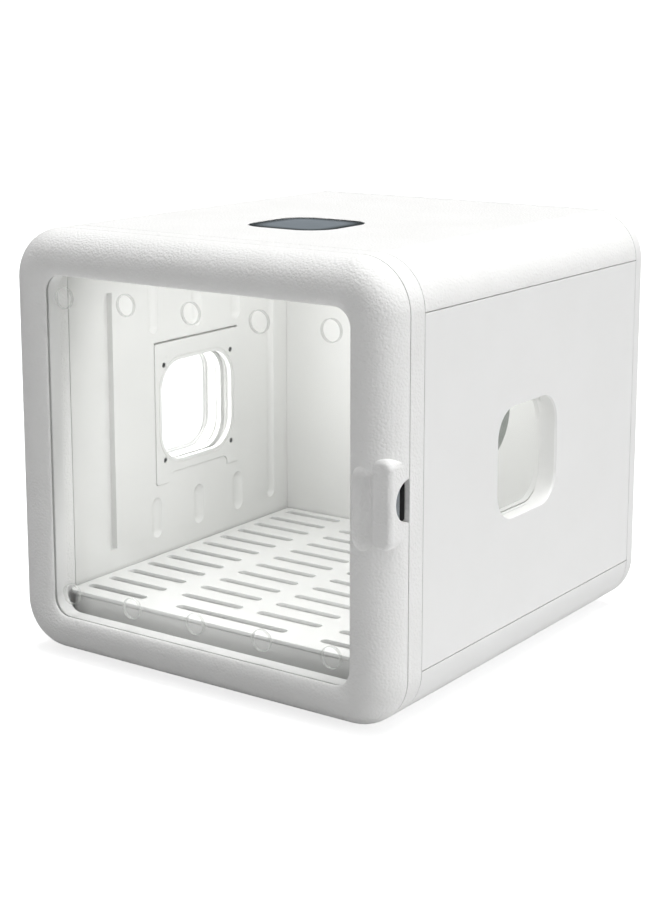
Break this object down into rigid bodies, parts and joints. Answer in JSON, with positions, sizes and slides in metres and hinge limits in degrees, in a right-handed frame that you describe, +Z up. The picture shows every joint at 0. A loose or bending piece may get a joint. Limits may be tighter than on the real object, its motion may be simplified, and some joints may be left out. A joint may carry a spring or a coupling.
{
  "type": "pet drying cabin",
  "caption": "Rounded white pet drying cabin with a clear hinged front door, side windows, slatted floor over a drip tray, and a rear fan heater.",
  "frame": {"origin": "on the ground under the middle of the case", "axes": "+Z up, -Y to the front where the door is, +X to the door's pull side"},
  "size_m": [0.4582, 0.49, 0.436],
  "materials": {
    "grained_white": "fine pebbled grain, matt",
    "smooth_white": "smooth, matt",
    "cabin_lining": "smooth, satin",
    "tray_white": "smooth, satin",
    "outlet_grey": "smooth, matt",
    "clear_acrylic": "clear, polished",
    "dark_glass": "polished",
    "dark_pad": "fine textured, matt",
    "rubber": "matt",
    "steel": "satin",
    "heater_aluminium": "satin",
    "black_plastic": "satin",
    "circuit_board": "satin",
    "filter_foam": "open-cell foam, matt"
  },
  "bodies": {
    "case": {"front_ring": "grained_white", "top_shell": "grained_white", "base_shell": "smooth_white", "side_panel_left": "smooth_white", "side_panel_right": "smooth_white", "rear_cover": "smooth_white", "liner_left": "cabin_lining", "liner_right": "cabin_lining", "liner_ceiling": "cabin_lining", "liner_back": "cabin_lining", "floor_pan": "cabin_lining", "window_frame_left": "cabin_lining", "window_frame_right": "cabin_lining", "drip_tray": "tray_white", "outlet_grille": "outlet_grey", "window_pane_left": "clear_acrylic", "window_pane_right": "clear_acrylic", "control_glass": "dark_glass", "foot_front_left": "rubber", "foot_front_right": "rubber", "foot_rear_left": "rubber", "foot_rear_right": "rubber", "rear_screw_1": "steel", "rear_screw_2": "steel", "rear_screw_3": "steel", "rear_screw_4": "steel", "strike_plate": "steel", "hinge_lower_case_leaf": "steel", "hinge_lower_pin": "steel", "hinge_upper_case_leaf": "steel", "hinge_upper_pin": "steel", "fan_motor": "steel", "temperature_probe": "steel", "window_screw_left_1": "steel", "window_screw_left_2": "steel", "window_screw_left_3": "steel", "window_screw_left_4": "steel", "window_screw_right_1": "steel", "window_screw_right_2": "steel", "window_screw_right_3": "steel", "window_screw_right_4": "steel", "heater": "heater_aluminium", "fan_housing": "black_plastic", "power_inlet": "black_plastic", "power_board": "circuit_board", "control_board": "circuit_board"},
    "door": {"door_frame": "grained_white", "door_pane": "clear_acrylic", "pane_bead": "smooth_white", "door_seal": "rubber", "grip_pad": "dark_pad", "door_magnet": "steel", "hinge_lower_door_leaf": "steel", "hinge_upper_door_leaf": "steel"},
    "slat_floor": {"floor_grille": "tray_white"},
    "fan": {"fan_impeller": "black_plastic", "fan_shaft": "steel"},
    "filter": {"filter_cover": "smooth_white", "air_filter": "filter_foam"}
  },
  "joints": [
    {"name": "door_hinge", "type": "hinge", "parent": "case", "child": "door", "pos_m": [-0.228, -0.214, 0.221], "axis": [0, 0, -1], "range_deg": [0, 120]},
    {"name": "slat_floor_lift", "type": "slide", "parent": "case", "child": "slat_floor", "axis": [0, 0, 1], "range_m": [0, 0.25]},
    {"name": "fan_spin", "type": "hinge", "parent": "case", "child": "fan", "pos_m": [0, 0.2205, 0.222], "axis": [0, 1, 0], "continuous": true},
    {"name": "filter_cover_pull", "type": "slide", "parent": "case", "child": "filter", "axis": [0, 1, 0], "range_m": [0, 0.03]}
  ]
}
